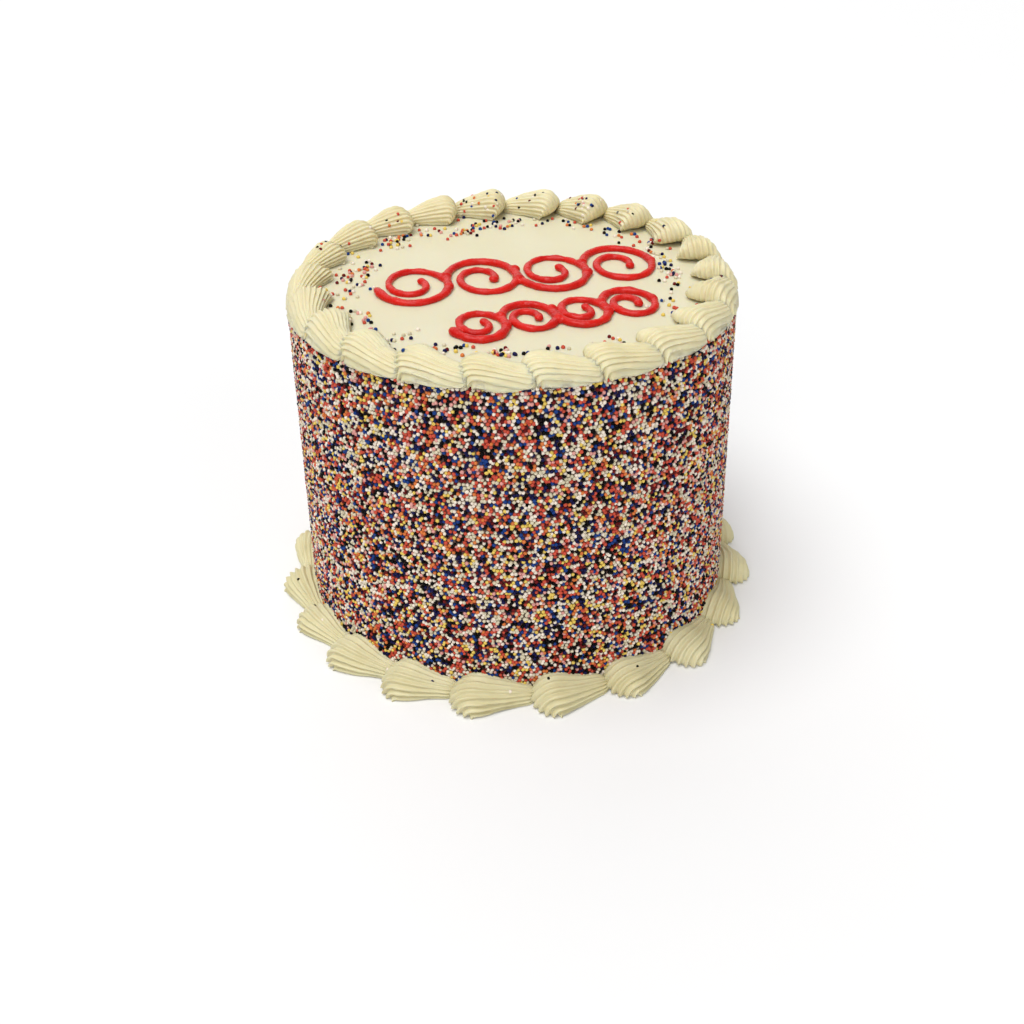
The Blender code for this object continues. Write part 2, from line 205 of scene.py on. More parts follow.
def icing_group():
    """Buttercream: cloudy patches of a deeper shade, a fine grain of air bubbles, and faint knife waves."""
    group = bpy.data.node_groups.new("buttercream", "ShaderNodeTree")
    sockets = group.interface
    sockets.new_socket("Color", in_out="INPUT", socket_type="NodeSocketColor")
    sockets.new_socket("Deep Color", in_out="INPUT", socket_type="NodeSocketColor")
    sockets.new_socket("Patch Scale", in_out="INPUT", socket_type="NodeSocketFloat")
    sockets.new_socket("Grain Scale", in_out="INPUT", socket_type="NodeSocketFloat")
    sockets.new_socket("Roughness", in_out="INPUT", socket_type="NodeSocketFloat")
    sockets.new_socket("Color", in_out="OUTPUT", socket_type="NodeSocketColor")
    sockets.new_socket("Roughness", in_out="OUTPUT", socket_type="NodeSocketFloat")
    sockets.new_socket("Height", in_out="OUTPUT", socket_type="NodeSocketFloat")
    nodes, links = group.nodes, group.links
    given = nodes.new("NodeGroupInput")
    made = nodes.new("NodeGroupOutput")
    place = nodes.new("ShaderNodeTexCoord")
    patches = nodes.new("ShaderNodeTexNoise")
    patches.inputs["Detail"].default_value = PATCH_DETAIL
    grain = nodes.new("ShaderNodeTexNoise")
    grain.inputs["Detail"].default_value = GRAIN_DETAIL
    links.new(place.outputs["Object"], patches.inputs["Vector"])
    links.new(place.outputs["Object"], grain.inputs["Vector"])
    links.new(given.outputs["Patch Scale"], patches.inputs["Scale"])
    links.new(given.outputs["Grain Scale"], grain.inputs["Scale"])
    mask = nodes.new("ShaderNodeMapRange")
    mask.inputs["From Min"].default_value = PATCH_EDGES[0]
    mask.inputs["From Max"].default_value = PATCH_EDGES[1]
    links.new(patches.outputs["Fac"], mask.inputs["Value"])
    tint = nodes.new("ShaderNodeMix")
    tint.data_type = "RGBA"
    links.new(mask.outputs["Result"], tint.inputs["Factor"])
    links.new(given.outputs["Color"], tint.inputs["A"])
    links.new(given.outputs["Deep Color"], tint.inputs["B"])
    links.new(tint.outputs["Result"], made.inputs["Color"])
    sheen = nodes.new("ShaderNodeMath")
    sheen.operation = "MULTIPLY_ADD"
    sheen.inputs[1].default_value = GRAIN_DULLING
    links.new(grain.outputs["Fac"], sheen.inputs[0])
    links.new(given.outputs["Roughness"], sheen.inputs[2])
    links.new(sheen.outputs["Value"], made.inputs["Roughness"])
    total = nodes.new("ShaderNodeMath")
    total.operation = "MULTIPLY_ADD"
    total.inputs[1].default_value = GRAIN_RELIEF
    links.new(grain.outputs["Fac"], total.inputs[0])
    links.new(patches.outputs["Fac"], total.inputs[2])
    links.new(total.outputs["Value"], made.inputs["Height"])
    return group


BUTTERCREAM = icing_group()


def icing_material(name, colour, deep, finish):
    """Icing in its own two colours and finish."""
    patch_scale, grain_scale, roughness, bump_depth, glow = finish
    material = bpy.data.materials.new(name)
    material.use_nodes = True
    nodes, links = material.node_tree.nodes, material.node_tree.links
    icing = nodes.new("ShaderNodeGroup")
    icing.node_tree = BUTTERCREAM
    icing.inputs["Color"].default_value = colour
    icing.inputs["Deep Color"].default_value = deep
    icing.inputs["Patch Scale"].default_value = patch_scale
    icing.inputs["Grain Scale"].default_value = grain_scale
    icing.inputs["Roughness"].default_value = roughness
    bump = nodes.new("ShaderNodeBump")
    bump.inputs["Strength"].default_value = ICING_BUMP
    bump.inputs["Distance"].default_value = bump_depth
    shader = nodes["Principled BSDF"]
    shader.inputs["Subsurface Weight"].default_value = glow
    shader.inputs["Subsurface Radius"].default_value = ICING_GLOW_REACH
    shader.inputs["Subsurface Scale"].default_value = 1.0
    links.new(icing.outputs["Color"], shader.inputs["Base Color"])
    links.new(icing.outputs["Roughness"], shader.inputs["Roughness"])
    links.new(icing.outputs["Height"], bump.inputs["Height"])
    links.new(bump.outputs["Normal"], shader.inputs["Normal"])
    return material


bpy.ops.object.select_all(action="DESELECT")
bpy.ops.mesh.primitive_cylinder_add(
    vertices=CAKE_SIDES, radius=FOOT_RADIUS - WALL_SINK, depth=CAKE_HEIGHT, location=(0, 0, CAKE_HEIGHT / 2)
)
cake = bpy.context.object
cake.name = "iced_cake"
bpy.ops.object.transform_apply(location=True, rotation=False, scale=False)
pick(cake, lambda point: point.co.z > CAKE_HEIGHT / 2)
shrink = RIM_RADIUS / FOOT_RADIUS
bpy.ops.transform.resize(value=(shrink, shrink, 1.0), center_override=(0, 0, CAKE_HEIGHT))
bpy.ops.mesh.bevel(offset=RIM_ROUNDING, segments=RIM_ROUNDING_STEPS, affect="EDGES")
pick(cake, lambda face: face.normal.z > LOOKS_UP, "FACE")
for width, repeats in TOP_RINGS:
    for _ in range(repeats):
        bpy.ops.mesh.inset(thickness=width / repeats, depth=0.0)
bpy.ops.mesh.poke()
bpy.ops.object.mode_set(mode="OBJECT")
make_uneven(cake.data, ICING_WAVE, ICING_WAVE_DEPTH)
cake.data.shade_smooth()
cake.data.materials.append(icing_material("ivory top icing", IVORY, IVORY_DEEP, TOP_FINISH))
# The second material paints the wall dark, as painted shade in the gaps between the sprinkles.
cake.data.materials.append(icing_material("wall icing painted dark as gap shade", WALL_GAP_SHADE, WALL_GAP_SHADE_DEEP, WALL_GAP_SHADE_FINISH))
pick(cake, lambda face: face.center.z < WALL_TOP and face.normal.z > LOOKS_DOWN, "FACE")
cake.active_material_index = 1
bpy.ops.object.material_slot_assign()
bpy.ops.object.mode_set(mode="OBJECT")
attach(cake, "root")
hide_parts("cake")


# Rim border
# A ring of buttercream shells piped on the edge of the top with an open star nozzle. Each is pressed out
# as a ribbed head, drawn to a tail along the rim, and covered there by the next. The ribs sank at the back.
RIM_SHELLS = 22
RIM_FIRST_JOINT = math.radians(-87)
RIM_SEED = 3
RIM_REACH = 0.0857
# The width and height of the foremost shells, as shares of the rearmost ones
RIM_FRONT_SIZE = (0.82, 0.45)
RIM_PITCH = 0.0223
RIM_HALF_WIDTH = 0.0100
RIM_HALF_HEIGHT = 0.0073
# How high the middle of an upright section stands, as a share of its half height
RIM_CENTRE_RISE = 0.43
RIM_SAG = 0.0077
RIM_LIP_HEIGHT = 0.1258
RIM_CUT_SLOPE = 0.16
CUT_LIFT = 0.0001
# Lines across the cake: the ribs behind each are smoothed once more. The lift gives back lost height
RIM_SOFTER_BEHIND = (-0.005, 0.020, 0.040, 0.055)
RIM_SOFTENING = 0.5
RIM_SOFTENING_ROUNDS = 3
RIM_BACK_LIFT = 0.13
# Unevenness: the length and depth of the waves, large ones first
RIM_WAVES = ((0.0075, 0.00055), (0.0024, 0.00014))
SHELL_IVORY = (0.720, 0.655, 0.420, 1.0)
SHELL_DEEP = (0.670, 0.590, 0.345, 1.0)
SHELL_FINISH = (60, 1400, 0.42, 0.00025, 0.50)
SHELL_PITCH_SPREAD = 0.07
SHELL_SIZE_SPREAD = 0.05
RIM_RIBS = 24
# The points of a rib in turn: the groove, a shoulder, the crest and the other shoulder
POINTS_IN_RIB = 4
CREST = 2
TOOTH_REACH = 1.13
GROOVE_DEPTH = 0.23
SHOULDER_DROP = 0.130
# A station is a share of the pitch, how far the ribbed section has turned upright, and its size
RIM_STATIONS = (
    (0.235, 6, 0.97),
    (0.230, 24, 1.01),
    (0.228, 42, 1.04),
    (0.232, 58, 1.04),
    (0.248, 73, 1.02),
    (0.290, 84, 1.00),
    (0.360, 90, 0.96),
    (0.450, 90, 0.90),
    (0.550, 90, 0.83),
    (0.650, 90, 0.76),
    (0.750, 90, 0.69),
    (0.850, 90, 0.63),
    (0.950, 90, 0.57),
    (1.050, 90, 0.52),
    (1.160, 90, 0.41),
)


def model_shell(name, ribs, stations, pitch, half_length, half_width, centre_at):
    """One shell laid straight along +X, y outwards: a ribbed ring that leaves the seat, bends over the head
    until it stands upright, and is drawn along to the tail. The ribs start in pointed teeth."""
    bpy.ops.object.select_all(action="DESELECT")
    rim = ribs * POINTS_IN_RIB
    bpy.ops.mesh.primitive_circle_add(vertices=rim, radius=1.0)
    shell = bpy.context.object
    shell.name = name
    pick(shell, lambda point: point.index % POINTS_IN_RIB == 0)
    bpy.ops.transform.resize(value=(1 - GROOVE_DEPTH,) * 2 + (1,), center_override=(0, 0, 0))
    pick(shell, lambda point: point.index % 2 == 1)
    bpy.ops.transform.resize(value=(1 - SHOULDER_DROP,) * 2 + (1,), center_override=(0, 0, 0))
    bpy.ops.mesh.select_all(action="SELECT")
    bpy.ops.transform.resize(value=(half_length, half_width, 1.0), center_override=(0, 0, 0))
    share, bend, size = stations[0]
    seat = centre_at(share * pitch, bend, size)
    centre = seat
    bpy.ops.transform.translate(value=centre)
    bpy.ops.transform.rotate(value=-math.radians(bend), orient_axis="Y", center_override=centre)
    for share, next_bend, next_size in stations[1:]:
        place = centre_at(share * pitch, next_bend, next_size)
        bpy.ops.mesh.extrude_edges_move(TRANSFORM_OT_translate={"value": place - centre})
        bpy.ops.transform.rotate(
            value=-math.radians(next_bend - bend), orient_axis="Y", center_override=place
        )
        growth = next_size / size
        bpy.ops.transform.resize(value=(growth,) * 3, center_override=place)
        centre, bend, size = place, next_bend, next_size
    bpy.ops.mesh.merge(type="CENTER")
    pick(shell, lambda point: point.index < rim and point.index % POINTS_IN_RIB == CREST)
    bpy.ops.transform.resize(value=(TOOTH_REACH,) * 3, center_override=seat)
    pick(shell, lambda point: point.index < rim)
    bpy.ops.mesh.edge_face_add()
    bpy.ops.mesh.select_all(action="SELECT")
    bpy.ops.mesh.normals_make_consistent(inside=False)
    bpy.ops.object.mode_set(mode="OBJECT")
    rounding = shell.modifiers.new("rounding", "SUBSURF")
    rounding.levels = 1
    rounding.render_levels = 1
    apply_modifiers(shell)
    return shell


def cut_below(piece, place, upward):
    """Cuts off what lies behind the plane and closes the cut."""
    pick(piece, lambda point: True)
    bpy.ops.mesh.bisect(plane_co=place, plane_no=upward, use_fill=True, clear_inner=True)
    bpy.ops.object.mode_set(mode="OBJECT")


def shell_ring(name, pattern, pitch, count, first_joint, seed, front_size, reach_of, rise_of):
    """The pattern copied round the cake, each copy with its own length and size, joined into one piece."""
    draw = random.Random(seed)
    lengths = [1 + draw.uniform(-SHELL_PITCH_SPREAD, SHELL_PITCH_SPREAD) for _ in range(count)]
    whole = sum(lengths)
    straight = points_of(pattern.data)
    start = first_joint
    copies = []
    for number, length in enumerate(lengths):
        turn = math.tau * length / whole
        frontness = (1 - math.sin(start + turn / 2)) / 2
        own = 1 + draw.uniform(-SHELL_SIZE_SPREAD, SHELL_SIZE_SPREAD)
        width, height = (own * (1 + (front - 1) * frontness) for front in front_size)
        copy = bpy.data.objects.new(f"{name}_{number}", pattern.data.copy())
        bpy.context.scene.collection.objects.link(copy)
        angle = start + straight[:, 0] / pitch * turn
        reach = reach_of(straight[:, 1], width)
        rise = rise_of(straight[:, 2], height)
        move_points(copy.data, np.stack([reach * np.cos(angle), reach * np.sin(angle), rise], axis=1))
        copies.append(copy)
        start += turn
    bpy.ops.object.select_all(action="DESELECT")
    for copy in copies:
        copy.select_set(True)
    bpy.context.view_layer.objects.active = copies[0]
    bpy.ops.object.join()
    ring = bpy.context.object
    ring.name = name
    bpy.data.objects.remove(pattern)
    return ring


def rim_centre(along, bend, size):
    tail = size * RIM_HALF_WIDTH
    rise = RIM_CENTRE_RISE * RIM_HALF_HEIGHT * size * math.sin(math.radians(bend))
    return Vector((along, -tail, rise))


rim_shell = model_shell(
    "rim_shell", RIM_RIBS, RIM_STATIONS, RIM_PITCH, RIM_HALF_HEIGHT, RIM_HALF_WIDTH, rim_centre
)
sagged = points_of(rim_shell.data)
outer_share = np.clip(1 + sagged[:, 1] / RIM_HALF_WIDTH, 0, 1)
sagged[:, 2] -= RIM_SAG * outer_share**2
sagged[:, 2] = np.maximum(sagged[:, 2], RIM_LIP_HEIGHT - CAKE_HEIGHT)
move_points(rim_shell.data, sagged)
cut_below(rim_shell, (0, 0, RIM_LIP_HEIGHT - CAKE_HEIGHT + CUT_LIFT), (0, RIM_CUT_SLOPE, 1))

rim_border = shell_ring(
    "rim_shells",
    rim_shell,
    RIM_PITCH,
    RIM_SHELLS,
    RIM_FIRST_JOINT,
    RIM_SEED,
    RIM_FRONT_SIZE,
    lambda reach, width: RIM_REACH + reach * width,
    lambda rise, height: CAKE_HEIGHT + np.where(rise > 0, rise * height, rise),
)
for line in RIM_SOFTER_BEHIND:
    pick(rim_border, lambda point: point.co.y > line and point.co.z > CAKE_HEIGHT)
    bpy.ops.mesh.vertices_smooth(factor=RIM_SOFTENING, repeat=RIM_SOFTENING_ROUNDS)
bpy.ops.object.mode_set(mode="OBJECT")
swelled = points_of(rim_border.data)
backness = np.clip(swelled[:, 1] / RIM_RADIUS, 0, 1)
rise = np.maximum(swelled[:, 2] - CAKE_HEIGHT, 0)
swelled[:, 2] += rise * RIM_BACK_LIFT * backness
move_points(rim_border.data, swelled)
for wave, depth in RIM_WAVES:
    make_uneven(rim_border.data, wave, depth)
rim_border.data.shade_smooth()
rim_border.data.materials.append(
    icing_material("ivory shell icing", SHELL_IVORY, SHELL_DEEP, SHELL_FINISH)
)
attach(rim_border, "root")
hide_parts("rim_border")


# Foot border
# A second, larger ring of shells piped where the wall meets the ground, with the same nozzle. The heads
# stand on the ground and lean on the wall, and the ribs end there in a row of small teeth.
# The foot icing is the rim's buttercream painted a little darker. This painted shade is for the low ring of
# shells, which takes less light.
FOOT_IVORY_SHADED = (0.665, 0.615, 0.385, 1.0)
FOOT_IVORY_SHADED_DEEP = (0.600, 0.540, 0.305, 1.0)
FOOT_FINISH = (60, 1400, 0.42, 0.00025, 0.20)
FOOT_SHELLS = 20
FOOT_RIBS = 20
FOOT_FIRST_JOINT = math.radians(-88)
FOOT_SEED = 5
FOOT_FRONT_SIZE = (1.56, 0.87)
FOOT_PITCH = 0.0289
FOOT_WIDTH = 0.0101
FOOT_HALF_WIDTH = 0.0073
FOOT_HALF_HEIGHT = 0.0090
FOOT_CENTRE_RISE = 0.25
FOOT_CUT_IN = -0.0015
FOOT_WAVES = ((0.0085, 0.00050), (0.0026, 0.00014))
FOOT_STATIONS = (
    (0.310, 0, 1.00),
    (0.312, 14, 1.03),
    (0.316, 32, 1.04),
    (0.325, 50, 1.03),
    (0.340, 68, 1.01),
    (0.370, 82, 1.00),
    (0.430, 90, 0.96),
    (0.520, 90, 0.88),
    (0.620, 90, 0.78),
    (0.720, 90, 0.68),
    (0.820, 90, 0.59),
    (0.920, 90, 0.52),
    (1.030, 90, 0.47),
    (1.150, 90, 0.38),
)


def foot_centre(along, bend, size):
    rise = FOOT_CENTRE_RISE * FOOT_HALF_HEIGHT * size * math.sin(math.radians(bend))
    return Vector((along, (FOOT_WIDTH - FOOT_HALF_WIDTH) * size, rise))


foot_shell = model_shell(
    "foot_shell", FOOT_RIBS, FOOT_STATIONS, FOOT_PITCH, FOOT_HALF_HEIGHT, FOOT_HALF_WIDTH, foot_centre
)
cut_below(foot_shell, (0, 0, CUT_LIFT), (0, 0, 1))
cut_below(foot_shell, (0, FOOT_CUT_IN, 0), (0, 1, 0))

foot_border = shell_ring(
    "foot_shells",
    foot_shell,
    FOOT_PITCH,
    FOOT_SHELLS,
    FOOT_FIRST_JOINT,
    FOOT_SEED,
    FOOT_FRONT_SIZE,
    lambda reach, width: FOOT_RADIUS + np.where(reach > 0, reach * width, reach),
    lambda rise, height: rise * height,
)
for wave, depth in FOOT_WAVES:
    make_uneven(foot_border.data, wave, depth)
foot_border.data.shade_smooth()
# Painted shade: the foot shells take a darker copy of the ivory buttercream.
foot_border.data.materials.append(
    icing_material("ivory foot icing painted a shade darker", FOOT_IVORY_SHADED, FOOT_IVORY_SHADED_DEEP, FOOT_FINISH)
)
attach(foot_border, "root")
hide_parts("foot_border")


# Red scrolls
# Two running scrolls piped on the flat top in glossy red icing from a plain round nozzle: a wavy stem, a
# curl in each hollow of the stem, and short leaves between. A drop stays where a line stops.
STROKE_RADIUS = 0.00170
STROKE_LIFT = 0.62
STROKE_WOBBLE = 0.22
STROKE_WOBBLE_LENGTH = 0.0045
# The thickness over the last points of a line, from its very end inwards
STROKE_END = (0.70, 1.05, 1.20, 1.18, 1.10, 1.04)
WAVES = 4
STEPS_IN_WAVE = 28
WAVE_STRETCH = 1.3
CURL_TURNS = 1.12
CURL_TIP = 0.30
CURL_TIGHTENING = 0.8
CURL_THINNING = 0.90
LEAF_LENGTH = 0.0052
LEAF_START = 0.10
LEAF_LEAN = 0.12
LEAF_POINTS = ((0.0, 0.6), (0.2, 1.0), (0.4, 1.25), (0.6, 1.15), (0.8, 0.9), (1.0, 0.35))
RED_VOXEL = 0.00033
RED_SETTLING = 0.5
RED_SETTLING_ROUNDS = 6
RED_FLATTENING = 0.80
RED_SINK = 0.0006
RED_WAVE = 0.0030
RED_WAVE_DEPTH = 0.00018
# Where a scroll lies: its middle, how far it slopes up to the right, and the pitch of its waves
UPPER_SCROLL = ((0.0020, 0.0030), math.radians(12), 0.0268)
LOWER_SCROLL = ((0.0150, -0.0350), math.radians(17), 0.0190)
RED = (0.640, 0.014, 0.008, 1.0)
RED_DEEP = (0.500, 0.006, 0.004, 1.0)
RED_FINISH = (180, 1500, 0.20, 0.00008, 0.15)
RED_SHINE = 0.18
RED_COAT = 0.10
RED_COAT_ROUGHNESS = 0.12


def swell_end(line):
    """The rounded, thicker drop left where the piping stopped, over the last few points."""
    for back, swell in enumerate(STROKE_END, 1):
        x, y, thickness = line[-back]
        line[-back] = (x, y, thickness * swell)


def stem_line(pitch):
    line = []
    for wave in range(WAVES):
        middle = (wave + 0.5 - WAVES / 2) * pitch
        side = -1 if wave % 2 == 0 else 1
        for step in range(0 if wave == 0 else 1, STEPS_IN_WAVE + 1):
            turn = math.pi * step / STEPS_IN_WAVE
            x = middle - pitch / 2 * math.cos(turn)
            line.append((x, side * pitch / 2 * WAVE_STRETCH * math.sin(turn), 1.0))
    line.reverse()
    swell_end(line)
    return line


def curl_line(pitch, wave):
    middle = (wave + 0.5 - WAVES / 2) * pitch
    side = 1 if wave % 2 == 0 else -1
    steps = round(2 * STEPS_IN_WAVE * CURL_TURNS)
    line = []
    for step in range(steps + 1):
        share = step / steps
        turn = math.tau * CURL_TURNS * share
        reach = pitch / 2 * (1 - (1 - CURL_TIP) * share**CURL_TIGHTENING)
        x = middle + reach * math.cos(turn)
        line.append((x, side * reach * WAVE_STRETCH * math.sin(turn), CURL_THINNING))
    swell_end(line)
    return line


def leaf_line(pitch, crossing, side):
    x = (crossing - WAVES / 2) * pitch
    line = []
    for share, fullness in LEAF_POINTS:
        along = LEAF_LENGTH * share
        line.append((x + side * LEAF_LEAN * along, side * (pitch * LEAF_START + along), fullness))
    return line


def pipe_line(name, line, placing):
    """One line of icing as a round curve whose thickness wavers a little, lying on the top."""
    centre, tilt, _ = placing
    turn = Matrix.Rotation(tilt, 2)
    curve = bpy.data.curves.new(name, "CURVE")
    curve.dimensions = "3D"
    curve.bevel_depth = STROKE_RADIUS
    curve.bevel_resolution = 4
    curve.use_fill_caps = True
    spline = curve.splines.new("POLY")
    spline.points.add(len(line) - 1)
    for point, (x, y, thickness) in zip(spline.points, line):
        place = turn @ Vector((x, y)) + Vector(centre)
        waver = 1 + STROKE_WOBBLE * noise.noise(Vector((place.x, place.y, 0)) / STROKE_WOBBLE_LENGTH)
        point.co = (place.x, place.y, CAKE_HEIGHT + STROKE_LIFT * STROKE_RADIUS * thickness, 1.0)
        point.radius = thickness * waver
    stroke = bpy.data.objects.new(name, curve)
    bpy.context.scene.collection.objects.link(stroke)
    return stroke


def pipe_scroll(name, placing, material):
    """Pipes every line of a scroll and lets them run together into one piece of icing."""
    pitch = placing[2]
    lines = [stem_line(pitch)]
    lines += [curl_line(pitch, wave) for wave in range(WAVES)]
    lines += [leaf_line(pitch, crossing, side) for crossing in range(1, WAVES) for side in (-1, 1)]
    strokes = [pipe_line(f"{name}_{number}", line, placing) for number, line in enumerate(lines)]
    bpy.ops.object.select_all(action="DESELECT")
    for stroke in strokes:
        stroke.select_set(True)
    bpy.context.view_layer.objects.active = strokes[0]
    bpy.ops.object.convert(target="MESH")
    bpy.ops.object.join()
    scroll = bpy.context.object
    scroll.name = name
    flow = scroll.modifiers.new("run together", "REMESH")
    flow.mode = "VOXEL"
    flow.voxel_size = RED_VOXEL
    settle = scroll.modifiers.new("settle", "SMOOTH")
    settle.factor = RED_SETTLING
    settle.iterations = RED_SETTLING_ROUNDS
    apply_modifiers(scroll)
    points = points_of(scroll.data)
    points[:, 2] = CAKE_HEIGHT + (points[:, 2] - CAKE_HEIGHT) * RED_FLATTENING
    move_points(scroll.data, points)
    cut_below(scroll, (0, 0, CAKE_HEIGHT - RED_SINK), (0, 0, 1))
    make_uneven(scroll.data, RED_WAVE, RED_WAVE_DEPTH)
    scroll.data.shade_smooth()
    scroll.data.materials.clear()
    scroll.data.materials.append(material)
    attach(scroll, "root")
    return scroll


red_icing = icing_material("glossy red icing", RED, RED_DEEP, RED_FINISH)
shader = red_icing.node_tree.nodes["Principled BSDF"]
shader.inputs["Specular IOR Level"].default_value = RED_SHINE
shader.inputs["Coat Weight"].default_value = RED_COAT
shader.inputs["Coat Roughness"].default_value = RED_COAT_ROUGHNESS
upper_scroll = pipe_scroll("upper_scroll_icing", UPPER_SCROLL, red_icing)
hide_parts("upper_scroll")
lower_scroll = pipe_scroll("lower_scroll_icing", LOWER_SCROLL, red_icing)
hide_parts("lower_scroll")


# Sugar sprinkles
# Round sugar balls a little over a millimetre across, pressed by the handful into the soft wall until they
# cover it, in patches of each colour as they fell. A few hundred strays lie on the top and on the borders.
BALL_RADIUS = 0.00081
STRAY_RADIUS = 0.00073
BALL_SPREAD = 0.09
WALL_FROM = 0.0025
WALL_TO = 0.1262
WALL_ROWS = 100
BALLS_IN_ROW = 387
SIDE_JITTER = 0.27
# How far a ball's middle stands out from the wall: the least and the most
STAND_OUT = (-0.00012, 0.00034)
# Patches of colour: their size, how strongly the mix drifts, and how far apart the kinds' drifts lie
CLUMP = 0.0042
CLUMPING = 2.2
KINDS_APART = (17.3, 5.1)
# Each kind: its share of the mix and its colour
BALL_KINDS = {
    "white": (0.165, (0.830, 0.740, 0.625, 1.0)),
    "pearl": (0.135, (0.655, 0.590, 0.425, 1.0)),
    "coral": (0.140, (0.565, 0.082, 0.048, 1.0)),
    "black": (0.140, (0.003, 0.002, 0.002, 1.0)),
    "navy": (0.100, (0.009, 0.009, 0.058, 1.0)),
    "orange": (0.065, (0.660, 0.190, 0.052, 1.0)),
    "yellow": (0.080, (0.770, 0.560, 0.120, 1.0)),
    "blue": (0.065, (0.013, 0.048, 0.210, 1.0)),
    "pink": (0.055, (0.700, 0.330, 0.290, 1.0)),
    "maroon": (0.060, (0.130, 0.009, 0.010, 1.0)),
}
# Strays on the top and the rim: the direction in degrees and distance of a patch, its spread along and
# across the ring, and how many lie in it
STRAYS = (
    (156, 0.072, 0.004, 0.003, 5),
    (160, 0.075, 0.006, 0.004, 9),
    (170, 0.061, 0.012, 0.006, 42),
    (196, 0.066, 0.009, 0.006, 13),
    (213, 0.064, 0.009, 0.005, 16),
    (139, 0.063, 0.010, 0.006, 28),
    (134, 0.069, 0.009, 0.004, 12),
    (123, 0.061, 0.006, 0.005, 11),
    (110, 0.057, 0.009, 0.005, 24),
    (103, 0.075, 0.006, 0.004, 12),
    (95, 0.068, 0.008, 0.009, 32),
    (86, 0.061, 0.011, 0.006, 12),
    (79, 0.070, 0.006, 0.005, 8),
    (66, 0.069, 0.008, 0.007, 30),
    (52, 0.067, 0.010, 0.006, 22),
    (29, 0.064, 0.012, 0.008, 30),
    (5, 0.060, 0.013, 0.006, 44),
    (335, 0.062, 0.009, 0.007, 17),
    (328, 0.070, 0.007, 0.005, 8),
    (300, 0.067, 0.005, 0.005, 10),
    (279, 0.065, 0.008, 0.004, 12),
    (266, 0.0655, 0.006, 0.004, 32),
    (254, 0.065, 0.007, 0.006, 12),
    (246, 0.068, 0.008, 0.006, 14),
    (231, 0.066, 0.006, 0.006, 11),
    (350, 0.079, 0.006, 0.004, 4),
    (184, 0.058, 0.010, 0.006, 10),
)
FOOT_STRAYS = 14
# Strays on the foot border: how far out from the wall, and their spread along and across the ring
FOOT_STRAY_PATCH = (0.006, 0.010, 0.003)
# A patch's spread in standard deviations, and how far up a stray's middle stands, as a share of its radius
PATCH_SPREAD = 1.7
STRAY_STAND = 0.5
STRAY_SIDES = 8
STRAY_RINGS = 5
DROP_HEIGHT = 0.2
RED_MIDDLE = CAKE_HEIGHT + 0.001
SUGAR_BATCH_SCALE = 620.0
SUGAR_BATCH_DETAIL = 1.0
SUGAR_GRAIN_SCALE = 4200.0
SUGAR_GRAIN_DETAIL = 2.0
SUGAR_DARKEST = 0.75
SUGAR_VARIATION = 0.5
SUGAR_ROUGHNESS = (0.20, 0.45)
SUGAR_BUMP = 0.4
SUGAR_BUMP_DEPTH = 0.00004
SUGAR_SHINE = 0.08
SPRINKLE_SEED = 41

draw = random.Random(SPRINKLE_SEED)
toss = np.random.default_rng(SPRINKLE_SEED)


def wall_places():
    """Rows of places all over the wall, each row half a place on from the last, and each place jittered."""
    row = np.repeat(np.arange(WALL_ROWS), BALLS_IN_ROW)
    step = np.tile(np.arange(BALLS_IN_ROW), WALL_ROWS)
    count = len(row)
    turn = step + 0.5 * (row % 2) + toss.uniform(-SIDE_JITTER, SIDE_JITTER, count)
    angle = turn / BALLS_IN_ROW * math.tau
    level = row + 0.5 + toss.uniform(-SIDE_JITTER, SIDE_JITTER, count)
    height = WALL_FROM + level / WALL_ROWS * (WALL_TO - WALL_FROM)
    reach = FOOT_RADIUS - WALL_SINK + (RIM_RADIUS - FOOT_RADIUS) * height / CAKE_HEIGHT
    reach += toss.uniform(*STAND_OUT, count)
    return np.stack([reach * np.cos(angle), reach * np.sin(angle), height], axis=1)


def dropped(x, y, lands_on):
    """Where a ball dropped at this place comes to rest, or None where nothing is under it."""
    best = None
    for tree in lands_on:
        place, normal, _, _ = tree.ray_cast(Vector((x, y, DROP_HEIGHT)), Vector((0, 0, -1)))
        if place is not None and (best is None or place.z > best[0].z):
            best = (place, normal)
    if best is None:
        return None
    return best[0] + best[1] * STRAY_RADIUS * STRAY_STAND


def stray_places():
    """Places scattered over each patch, without those that touch red icing."""
    graph = bpy.context.evaluated_depsgraph_get()
    lands_on = [bvhtree.BVHTree.FromObject(piece, graph) for piece in (cake, rim_border, foot_border)]
    reds = [bvhtree.BVHTree.FromObject(piece, graph) for piece in (upper_scroll, lower_scroll)]
    places = []
    wanted = [patch for patch in STRAYS for _ in range(patch[4])]
    outwards, foot_along, foot_across = FOOT_STRAY_PATCH
    for _ in range(FOOT_STRAYS):
        wanted.append((draw.uniform(0, 360), FOOT_RADIUS + outwards, foot_along, foot_across, 1))
    for direction, distance, along, across, _ in wanted:
        reach = distance + draw.gauss(0, across / PATCH_SPREAD)
        angle = math.radians(direction) + draw.gauss(0, along / PATCH_SPREAD) / distance
        x, y = reach * math.cos(angle), reach * math.sin(angle)
        if any(red.find_nearest(Vector((x, y, RED_MIDDLE)))[3] < BALL_RADIUS for red in reds):
            continue
        place = dropped(x, y, lands_on)
        if place is not None:
            places.append(place)
    return np.array(places)


def kinds_at(places):
    """The kind of each ball: drawn from the mix, which drifts from patch to patch."""
    shares = np.array([share for share, _ in BALL_KINDS.values()])
    drift = np.empty((len(places), len(shares)))
    for count, place in enumerate(places):
        spot = Vector(place) / CLUMP
        for kind in range(len(shares)):
            apart = Vector((KINDS_APART[0] * kind, KINDS_APART[1] * kind, 0))
            drift[count, kind] = noise.noise(spot + apart)
    weights = shares * np.exp(CLUMPING * drift)
    limits = np.cumsum(weights / weights.sum(axis=1, keepdims=True), axis=1)
    return (toss.random(len(places))[:, None] > limits).sum(axis=1).clip(0, len(shares) - 1)


